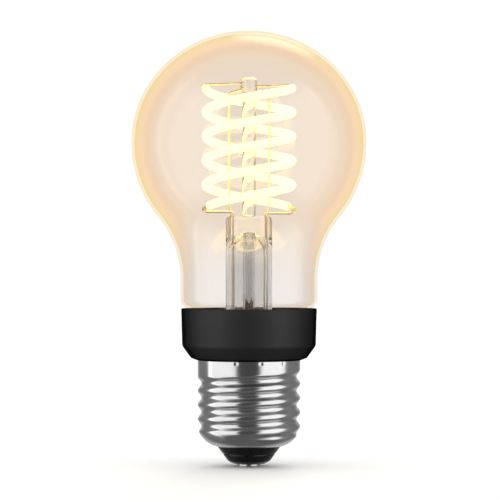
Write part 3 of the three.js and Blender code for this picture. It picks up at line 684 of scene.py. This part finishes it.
class LAMP_OT_screw_shell(bpy.types.Operator):
    """Turns the shell, rolls the thread into it and punches its crimp marks"""

    bl_idname = "lamp.screw_shell"
    bl_label = "Screw Shell"

    def execute(self, context):
        s = context.scene.lamp_cap
        bottom, top = low("screw_shell").z, high("screw_shell").z
        ring = s.crest_radius + s.end_bulge - s.end_rounding
        ring_height = bottom + math.sqrt(s.end_rounding**2 - (s.foot_radius - ring) ** 2)
        start = math.atan2(bottom - ring_height, s.foot_radius - ring)
        finish = -math.acos((s.crest_radius - ring) / s.end_rounding)
        steps = 24 * s.punch_marks
        rows = 88
        outline = Outline(s.foot_radius - s.rim, bottom).to(s.foot_radius, bottom)
        outline.arc(ring, ring_height, math.degrees(finish - start), 22)
        outline.to(s.crest_radius, top)
        bmesh.ops.subdivide_edges(outline.bm, edges=outline.end.link_edges[:], cuts=rows - 1)
        bm = outline.turn(steps)
        bmesh.ops.rotate(bm, cent=(0, 0, 0), matrix=Matrix.Rotation(s.punch_turn, 3, "Z"), verts=bm.verts)

        def groove(height, turn):
            along = (height - bottom - s.thread_start) / s.pitch - turn
            faded = (math.floor(along) + 0.5 + turn - s.thread_turns) / s.run_out
            faded = min(1, max(0, faded))
            faded = faded * faded * (3 - 2 * faded)
            return (1 - faded) * (1 - math.cos(FULL_TURN * along)) / 2

        def rolled(height, turn):
            threaded = s.crest_radius - s.depth * groove(height, turn)
            below = max(0, ring_height - height)
            rounded = ring + math.sqrt(s.end_rounding**2 - below**2)
            return (threaded + rounded - math.hypot(threaded - rounded, s.crease)) / 2

        def punched(height, turn):
            first = s.punch_turn / FULL_TURN
            off = (turn - first) * s.punch_marks
            across = (off - round(off)) / s.punch_marks * FULL_TURN * s.crest_radius
            share = math.hypot(across, height - top + s.punch_drop) / s.punch_radius
            return s.punch_depth * (1 - share**2) ** 2 if share < 1 else 0

        for vert in bm.verts:
            radius = math.hypot(vert.co.x, vert.co.y)
            if radius < s.foot_radius - s.rim / 2:
                continue
            turn = math.atan2(vert.co.y, vert.co.x) / FULL_TURN % 1
            wanted = rolled(vert.co.z, turn) - punched(vert.co.z, turn)
            vert.co.xy *= wanted / radius
        bmesh.ops.solidify(bm, geom=bm.faces[:], thickness=s.sheet)
        material = plated_nickel(context.scene.lamp_colours)
        add_piece("rolled_shell", bm, material, ["screw_shell"], crease=60)
        return {"FINISHED"}


class LAMP_OT_insulator(bpy.types.Operator):
    """Moulds the black insulator under the shell and the contact it carries"""

    bl_idname = "lamp.insulator"
    bl_label = "Insulator and Contact"

    def execute(self, context):
        s = context.scene.lamp_insulator
        cap = context.scene.lamp_cap
        colours = context.scene.lamp_colours
        tip, top = low("cap_insulator").z, high("cap_insulator").z
        shell = low("screw_shell").z
        shoulder = Vector((s.shoulder_radius, tip + s.shoulder_rise))
        foot = Vector((cap.foot_radius, shell))
        neck = cap.foot_radius - cap.rim - s.neck_gap
        slope = (foot - shoulder).normalized()
        inward = Vector((-slope.y, slope.x))
        groove = shoulder + slope * ((tip + s.bead_rise - shoulder.y) / slope.y)
        half = 1.5 * s.bead_depth
        lead_in = 1.6
        outline = (
            Outline(s.bore_radius, tip)
            .to(s.tip_radius, tip, soften=0.25 * MM)
            .to(*shoulder, soften=0.35 * MM)
            .to(*(groove - slope * half * lead_in), soften=0.06 * MM)
            .to(*(groove + inward * s.bead_depth), soften=0.1 * MM)
            .to(*(groove + slope * half), soften=0.05 * MM)
            .to(*(foot - slope * 0.1 * MM))
            .to(foot.x - 0.12 * MM, shell)
            .to(neck, shell)
            .to(neck, top)
            .to(neck - s.wall, top)
            .to(neck - s.wall, tip + s.floor + s.wall)
            .to(s.bore_radius, tip + s.floor)
        )
        # Black glass, cast hot into the shell: deep black with a wet shine.
        black_glass = grained(
            "Black insulator glass, cast", colours.insulator, rough=0.3, grain=1.2, bump=0.03, shine=0.3
        )
        bm = outline.turn(96, closed=True)
        add_piece("cast_insulator", bm, black_glass, ["cap_insulator"])

        edge, stud_top = s.contact_edge, high("centre_contact").z
        outline = (
            Outline(0, 0)
            .to(s.contact_radius - 2 * edge, 0, soften=0.3 * MM)
            .to(s.contact_radius - edge, 0)
            .arc(s.contact_radius - edge, edge, 90, 8)
            .to(s.contact_radius, tip)
            .to(s.stud_radius, tip)
            .to(s.stud_radius, stud_top, soften=0.2 * MM)
            .to(0, stud_top)
        )
        # Solder, dripped and set: satin grey with a slightly lumpy skin.
        solder = grained("Lead-free solder, set", colours.solder, rough=0.28, grain=0.7, metal=1.0, bump=0.09)
        add_piece("solder_contact", outline.turn(64), solder, ["centre_contact"])
        return {"FINISHED"}


class LAMP_OT_collar(bpy.types.Operator):
    """Moulds the black collar between the glass and the cap"""

    bl_idname = "lamp.collar"
    bl_label = "Collar"

    def execute(self, context):
        s = context.scene.lamp_collar
        top = high("collar_housing").z
        bottom = low("collar_housing").z
        shell = high("screw_shell").z
        crest = context.scene.lamp_cap.crest_radius
        spigot_bore = s.spigot_radius - s.spigot_wall
        outline = (
            Outline(spigot_bore, bottom)
            .to(s.spigot_radius, bottom, soften=s.edge)
            .to(s.spigot_radius, shell - s.band_height)
            .to(s.band_radius, shell - s.band_height)
            .to(s.band_radius, shell)
            .to(crest, shell)
            .to(s.foot_radius, shell + s.foot_rise, soften=s.edge)
            .to(s.chamfer_radius, shell + s.chamfer_rise, soften=2 * s.edge)
            .to(s.rim_radius, top, soften=s.edge)
            .to(s.rim_radius - s.wall, top, soften=s.edge)
            .to(s.rim_radius - s.wall, shell + s.chamfer_rise)
            .to(s.foot_radius - s.wall, shell + s.floor)
            .to(spigot_bore, shell + s.floor)
        )
        # Heat-stable polyester, moulded in a spark-eroded tool: satin black with a very fine tooth.
        plastic = grained(
            "Moulded polyester, spark-eroded satin",
            context.scene.lamp_colours.collar,
            rough=0.62,
            grain=0.16,
            bump=0.03,
            fade=0.9,
            vary=0.12,
            shine=0.6,
            glancing=0.0,
        )
        bm = outline.turn(160, closed=True)
        add_piece("moulded_collar", bm, plastic, ["collar_housing"], crease=25)
        return {"FINISHED"}


class LAMP_OT_bulb(bpy.types.Operator):
    """Blows the bulb: one wall from the plug in the collar to the top of the dome"""

    bl_idname = "lamp.bulb"
    bl_label = "Bulb"

    def execute(self, context):
        s = context.scene.lamp_bulb
        collar_top = high("collar_housing").z
        neck_top = collar_top + s.neck_length
        reach = s.neck_radius + s.hollow
        belt = neck_top + math.sqrt((s.belly + s.hollow) ** 2 - reach**2)
        slant = math.degrees(math.atan2(belt - neck_top, reach))
        shoulder_height = collar_top + s.shoulder_rise
        turned_in = -75
        lip = math.radians(turned_in)
        outline = (
            Outline(s.plug_radius, low("glass_envelope").z)
            .to(s.plug_radius, collar_top - s.plug_drop, soften=0.3 * MM)
            .to(s.plug_radius + s.shoulder * math.cos(lip), shoulder_height + s.shoulder * math.sin(lip))
            .arc(s.plug_radius, shoulder_height, -turned_in, 14)
            .to(s.neck_radius, neck_top)
            .arc(reach, neck_top, -slant, 30)
            .arc(0, belt, slant, 30)
            .arc(0, belt, 90, 44, stretch=s.dome / s.belly)
        )
        outline.end.co.x = 0
        bm = outline.turn(144)
        bmesh.ops.solidify(bm, geom=bm.faces[:], thickness=s.wall)
        glass = amber_bulb_glass(context.scene.lamp_colours)
        add_piece("blown_bulb", bm, glass, ["glass_envelope"], crease=60)
        return {"FINISHED"}


class LAMP_OT_stem(bpy.types.Operator):
    """Draws the stem with its pinch, the exhaust tube in it and the rod with its button"""

    bl_idname = "lamp.stem"
    bl_label = "Stem and Rod"

    def execute(self, context):
        s = context.scene.lamp_stem
        glass = drawn_glass(context.scene.lamp_colours)
        bottom, top = low("glass_stem").z, high("glass_stem").z
        bore = s.radius - s.wall
        bore_top = top - s.solid_glass
        flare = Vector((s.flare_radius, bottom + s.flare_rise))
        across = s.flare_radius - s.radius
        outline = Outline(0, top).to(s.radius - s.top_rounding, top)
        outline.arc(s.radius - s.top_rounding, top - s.top_rounding, -90, 6)
        outline.to(s.radius, flare.y)

        def flared(turned, reach, drop):
            turned += math.pi
            outline.to(flare.x + reach * math.cos(turned), flare.y + drop * math.sin(turned))

        steps, inner_turn = 12, math.radians(84)
        for step in range(1, steps + 1):
            flared(step / steps * math.pi / 2, across, s.flare_rise - s.wall)
        outline.to(s.flare_radius, bottom)
        for step in range(steps, -1, -1):
            flared(step / steps * inner_turn, across + s.wall, s.flare_rise)
        outline.to(bore, bore_top - bore)
        outline.arc(0, bore_top - bore, 90, 12)
        outline.end.co.x = 0
        # Only the tube's two walls are this long. They are divided, so that they can be pinched.
        walls = [e for e in outline.bm.edges if e.calc_length() > 8 * MM]
        bmesh.ops.subdivide_edges(outline.bm, edges=walls, cuts=24)
        bm = outline.turn(72)
        # The hot tube is pinched flat from the front and the back, the bore with it.
        flat_bottom = top - s.pinch_height - s.pinch_slope
        slack = 0.01 * MM
        for vert in bm.verts:
            share = min(1, max(0, (vert.co.z - flat_bottom) / s.pinch_slope))
            share = share * share * (3 - 2 * share)
            inner = vert.co.z < bore_top + slack and math.hypot(vert.co.x, vert.co.y) < bore + slack
            full, half = (bore, s.bore_half) if inner else (s.radius, s.pinch_half)
            vert.co.y *= 1 - share * (1 - half / full)
            if inner and vert.co.z > bore_top - s.wrinkled:
                # The hot glass wrinkles where the bore ends.
                wave = math.sin(s.wrinkles * math.atan2(vert.co.y, vert.co.x) + vert.co.z / s.wrinkle * 2)
                vert.co.z += s.wrinkle * wave * min(1, math.hypot(vert.co.x, vert.co.y) / bore * 2)
        bmesh.ops.recalc_face_normals(bm, faces=bm.faces)
        add_piece("pinched_stem", bm, glass, ["glass_stem"], crease=50)

        tip, end = low("exhaust_tube").z, high("exhaust_tube").z
        wall = s.exhaust_radius - s.exhaust_bore
        outline = Outline(0, tip).arc(0, tip + s.exhaust_radius, 90, 8)
        outline.to(s.exhaust_radius, end, soften=0.2 * MM).to(s.exhaust_bore, end, soften=0.2 * MM)
        outline.to(s.exhaust_bore, tip + wall + s.exhaust_bore).arc(0, tip + wall + s.exhaust_bore, -90, 6)
        outline.end.co.x = 0
        add_piece("exhaust_glass", outline.turn(40), glass, ["exhaust_tube"])

        # The rod stands a hair clear of the pinch, so that the two faces of glass don't coincide.
        foot, button_top = low("support_rod").z + 0.03 * MM, high("support_rod").z
        button = button_top - s.button_height
        outline = (
            Outline(0, foot)
            .to(s.rod_radius, foot, soften=0.25 * MM)
            .to(s.rod_radius, button - 0.5 * MM, soften=0.4 * MM)
            .to(s.button_radius, button, soften=0.3 * MM)
            .to(s.button_radius, button_top, soften=0.8 * MM)
            .to(0, button_top)
        )
        add_piece("rod_and_button", outline.turn(48), glass, ["support_rod"])
        return {"FINISHED"}


class LAMP_OT_filaments(bpy.types.Operator):
    """Coils the two filaments and welds a tab to each of their ends"""

    bl_idname = "lamp.filaments"
    bl_label = "Filaments and Tabs"

    def execute(self, context):
        s = context.scene.lamp_filament
        phosphor = glowing_phosphor(context.scene.lamp_colours)
        # Nickel-plated steel strip: satin, with shear lines along it.
        colour = context.scene.lamp_colours.tab
        strip = grained("Nickel-plated steel strip", colour, rough=0.55, grain=0.25, metal=0.6)
        steps = 190
        slope = math.atan2(s.pitch, FULL_TURN * s.coil_radius)
        for letter, coil in coils(context).items():
            bm = bmesh.new()
            place = (
                Matrix.Rotation(coil.angles[0], 4, "Z")
                @ Matrix.Translation((s.coil_radius, 0, coil.bottom))
                @ Matrix.Rotation(math.pi / 2 + slope, 4, "X")
            )
            bmesh.ops.create_circle(bm, cap_ends=True, segments=20, radius=s.strand_radius, matrix=place)
            bmesh.ops.spin(
                bm,
                geom=bm.verts[:] + bm.edges[:] + bm.faces[:],
                cent=(0, 0, 0),
                axis=(0, 0, 1),
                dvec=(0, 0, s.pitch * s.sweep / FULL_TURN / steps),
                angle=s.sweep,
                steps=steps,
            )
            ends = [f for f in bm.faces if len(f.verts) > 4]
            rims = {e for f in ends for e in f.edges}
            round_off(bm, list(rims), 0.4 * s.strand_radius, 4, "EDGES")
            bmesh.ops.recalc_face_normals(bm, faces=bm.faces)
            add_piece(f"coiled_strand_{letter}", bm, phosphor, [f"filament_{letter}"])
            for end, where, tab in ((1, "upper", s.upper_tab), (0, "lower", s.lower_tab)):
                bm = bmesh.new()
                along = coil.heading(end)
                outward = Vector((along.y, -along.x, 0)).normalized()
                turned = Matrix((along, outward, along.cross(outward))).transposed().to_4x4()
                # The tab's inner end is sunk in the strand.
                back, longer = 0.1 * MM, 0.4 * MM
                middle = coil.beyond(end, s.bond + tab / 2 - back)
                size = Matrix.Diagonal((tab + longer, s.tab_sheet, s.tab_width, 1))
                bmesh.ops.create_cube(bm, size=1, matrix=Matrix.Translation(middle) @ turned @ size)
                round_off(bm, bm.edges[:], 0.06 * MM, 2, "EDGES")
                node = f"terminal_{letter}_{where}"
                add_piece(f"welded_tab_{letter}_{where}", bm, strip, [node], crease=30)
        return {"FINISHED"}


class LAMP_OT_wires(bpy.types.Operator):
    """Bends the leads, the risers and the top wires"""

    bl_idname = "lamp.wires"
    bl_label = "Wires"

    def execute(self, context):
        s = context.scene.lamp_wires
        f = context.scene.lamp_filament
        coil = coils(context)
        stem_top = high("glass_stem").z
        button_top = high("support_rod").z
        button = context.scene.lamp_stem.button_radius
        foot = low("lead_wire_left").z
        sunk = s.socket - button
        tab_reach = f.tab_width / 2 - 0.1 * MM
        # Each side: its sign, whose lower end its lead feeds, whose upper end its top wire feeds.
        sides = {"left": (-1, coil["a"], coil["b"]), "right": (1, coil["b"], coil["a"])}
        # Plated lead-in wire: bright gold with faint lines along the draw.
        gold = grained(
            "Plated lead-in wire, drawn",
            context.scene.lamp_colours.wire,
            rough=0.42,
            grain=0.2,
            stretch=(1, 1, 0.1),
            metal=0.85,
            bump=0.006,
        )
        routes = {}
        for side, (sign, below, above) in sides.items():
            run = stem_top + (s.left_run if sign < 0 else s.right_run)
            end = below.beyond(0, f.bond + f.lower_tab / 2)
            x, y = sign * s.lead_across, sign * s.lead_depth
            routes[f"lead_wire_{side}"] = (
                s.lead_radius,
                [(x, y, foot), (x, y, run), (end.x, end.y, run), (end.x, end.y, end.z - tab_reach)],
            )
            end = above.beyond(1, f.bond + f.upper_tab / 2)
            drop = s.left_drop if sign < 0 else s.right_drop
            routes[f"top_wire_{side}"] = (
                s.top_radius,
                [
                    (-sign * sunk, 0, button_top - drop),
                    (end.x, end.y, end.z + f.tab_width / 2 + s.top_radius / 2),
                ],
            )
        start, finish = (Vector(corner) for corner in routes["top_wire_right"][1])
        met = start.lerp(finish, (s.riser_reach - start.x) / (finish.x - start.x))
        spread = stem_top + s.spread
        routes["riser_wire_left"] = (
            s.lead_radius,
            [
                (-s.riser_across, s.lead_depth, foot),
                (-s.riser_across, s.lead_depth, stem_top),
                (-s.riser_reach, s.lead_depth / 2, spread),
                (-s.riser_reach, 0, button_top - s.hook_drop - s.hook_rise),
                (sunk, 0, button_top - s.hook_drop),
            ],
        )
        routes["riser_wire_right"] = (
            s.thin_radius,
            [
                (s.riser_across, -s.lead_depth, foot),
                (s.riser_across, -s.lead_depth, stem_top),
                (s.riser_reach, -s.lead_depth / 2, spread),
                (s.riser_reach, 0, met.z - s.top_radius / 2),
            ],
        )
        for node, (radius, corners) in routes.items():
            bm = drawn_wire(corners, radius, s.bend)
            add_piece(f"drawn_{node}", bm, gold, [node])
        return {"FINISHED"}


class LAMP_OT_driver(bpy.types.Operator):
    """Finishes the frame's own driver, radio and cement nodes"""

    bl_idname = "lamp.driver"
    bl_label = "Driver and Radio"

    def execute(self, context):
        for name, (nodes, hex_code, settings) in DRIVER_FINISHES.items():
            material = grained(name, linear(hex_code), **settings)
            for node in nodes:
                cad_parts[node].material_slots[0].material = material
        return {"FINISHED"}


class LAMP_OT_stage(bpy.types.Operator):
    """Lays the pale floor and sets the soft studio light and the camera"""

    bl_idname = "lamp.stage"
    bl_label = "Stage"

    def execute(self, context):
        scene = context.scene
        s = scene.lamp_stage
        self.floor(s)
        self.light(scene, s)
        data = bpy.data.cameras.new("front_camera")
        data.lens = s.lens
        data.sensor_width = 36
        camera = bpy.data.objects.new("front_camera", data)
        scene.collection.objects.link(camera)
        camera.location = (s.aside, -s.distance, s.height)
        aim = Vector((s.aside, 0, s.aim)) - camera.location
        camera.rotation_euler = aim.to_track_quat("-Z", "Y").to_euler()
        scene.camera = camera
        scene.view_settings.view_transform = "Standard"
        return {"FINISHED"}

    def floor(self, s):
        """A round sheet of matt card, kept out of the metal's reflections."""
        bm = bmesh.new()
        bmesh.ops.create_circle(bm, cap_ends=True, segments=96, radius=s.floor_radius)
        floor = new_object("floor", bm)
        card = grained("Matt card", s.floor_colour, rough=0.9, grain=0.6, bump=0.01, fade=0.985)
        floor.data.materials.append(card)
        floor.visible_glossy = False

    def light(self, scene, s):
        """Two tall soft panels left and right of the camera, a bright backdrop and a soft top light."""
        world = bpy.data.worlds.new("studio")
        scene.world = world
        world.use_nodes = True
        tree = world.node_tree
        tree.nodes.clear()
        way = add_node(tree, "ShaderNodeTexCoord").outputs["Generated"]
        parts = add_node(tree, "ShaderNodeSeparateXYZ", {"Vector": way}).outputs
        forward = add_node(tree, "ShaderNodeMath", {0: parts["Y"], 1: -1.0}, operation="MULTIPLY")
        bearing = {0: parts["X"], 1: forward.outputs[0]}
        round_about = add_node(tree, "ShaderNodeMath", bearing, operation="ARCTAN2").outputs[0]
        # From 0 behind the lamp, over 0.5 at the camera, to 1 behind the lamp again.
        circle = {"Value": round_about, "From Min": -math.pi, "From Max": math.pi}
        turn = add_node(tree, "ShaderNodeMapRange", circle).outputs["Result"]
        behind = [(0.06, 0.42), (0.09, 0.17)]
        left_panel = [(0.209, 0.2), (0.219, 1.8), (0.25, 1.05), (0.41, 1.05)]
        gap = [(0.43, 0.07), (0.56, 0.06)]
        right_panel = [(0.585, 1.15), (0.735, 1.15), (0.757, 0.2)]
        behind_again = [(0.91, 0.17), (0.94, 0.42)]
        stops = behind + left_panel + gap + right_panel + behind_again
        walls = add_node(tree, "ShaderNodeValToRGB", {"Fac": turn}, stops)
        # From 0 straight down to 1 straight up: the panels fade out high above and far below.
        upright = {"Value": parts["Z"], "From Min": -1.0, "From Max": 1.0}
        level = add_node(tree, "ShaderNodeMapRange", upright).outputs["Result"]
        stops = [(0.08, 0.0), (0.19, 1.0), (0.83, 1.0), (0.94, 0.0)]
        banded = add_node(tree, "ShaderNodeValToRGB", {"Fac": level}, stops)
        dim = (0.11, 0.11, 0.11, 1)
        both = {0: banded.outputs["Color"], 6: dim, 7: walls.outputs["Color"]}
        room = add_node(tree, "ShaderNodeMix", both, data_type="RGBA")
        overhead = Vector((0.14, 0.76, 0.635)).normalized()
        towards = add_node(tree, "ShaderNodeVectorMath", {0: way, 1: overhead}, operation="DOT_PRODUCT")
        stops = [(0.97, 0.0), (0.985, 3.5)]
        top = add_node(tree, "ShaderNodeValToRGB", {"Fac": towards.outputs["Value"]}, stops)
        both = {0: 1.0, 6: room.outputs[2], 7: top.outputs["Color"]}
        studio = add_node(tree, "ShaderNodeMix", both, data_type="RGBA", blend_type="ADD")
        # The bright backdrop, which the clear glass bends towards the eye, and its dimmer sides.
        stops = [(0.08, 0.82), (0.15, 0.5), (0.85, 0.5), (0.92, 0.82)]
        backdrop = add_node(tree, "ShaderNodeValToRGB", {"Fac": turn}, stops)
        path = add_node(tree, "ShaderNodeLightPath").outputs
        both = {0: path["Is Transmission Ray"], 6: studio.outputs[2], 7: backdrop.outputs["Color"]}
        bent = add_node(tree, "ShaderNodeMix", both, data_type="RGBA")
        room_light = {"Color": bent.outputs[2], "Strength": s.mirrored_light}
        mirrored = add_node(tree, "ShaderNodeBackground", room_light).outputs[0]
        # Matt surfaces get even light, so that the floor comes out as bright as the backdrop behind it.
        white = {"Color": (1, 1, 1, 1)}
        even = add_node(tree, "ShaderNodeBackground", {**white, "Strength": s.even_light}).outputs[0]
        both = {0: path["Is Diffuse Ray"], 1: mirrored, 2: even}
        matt = add_node(tree, "ShaderNodeMixShader", both).outputs[0]
        seen = add_node(tree, "ShaderNodeBackground", {**white, "Strength": s.seen_light}).outputs[0]
        background = add_node(tree, "ShaderNodeMixShader", {0: path["Is Camera Ray"], 1: matt, 2: seen})
        add_node(tree, "ShaderNodeOutputWorld", {"Surface": background.outputs[0]})


OPERATORS = (
    LAMP_OT_screw_shell,
    LAMP_OT_insulator,
    LAMP_OT_collar,
    LAMP_OT_bulb,
    LAMP_OT_stem,
    LAMP_OT_filaments,
    LAMP_OT_wires,
    LAMP_OT_driver,
    LAMP_OT_stage,
)


class LAMP_PT_builder(bpy.types.Panel):
    """Lists the lamp's sizes and the pieces to build"""

    bl_label = "Filament Lamp"
    bl_space_type = "VIEW_3D"
    bl_region_type = "UI"
    bl_category = "Lamp"

    def draw(self, context):
        for operator in OPERATORS:
            self.layout.operator(operator.bl_idname)
        for name, group in SETTINGS.items():
            column = self.layout.box().column()
            column.label(text=group.__name__)
            for field in group.__annotations__:
                column.prop(getattr(context.scene, name), field)


def register():
    for group in (*SETTINGS.values(), *OPERATORS, LAMP_PT_builder):
        bpy.utils.register_class(group)
    for name, group in SETTINGS.items():
        setattr(bpy.types.Scene, name, PointerProperty(type=group))


def unregister():
    for name in SETTINGS:
        delattr(bpy.types.Scene, name)
    for group in (LAMP_PT_builder, *reversed(OPERATORS), *SETTINGS.values()):
        bpy.utils.unregister_class(group)


def main():
    register()
    for operator in OPERATORS:
        family, name = operator.bl_idname.split(".")
        getattr(getattr(bpy.ops, family), name)()


if __name__ == "__main__":
    main()
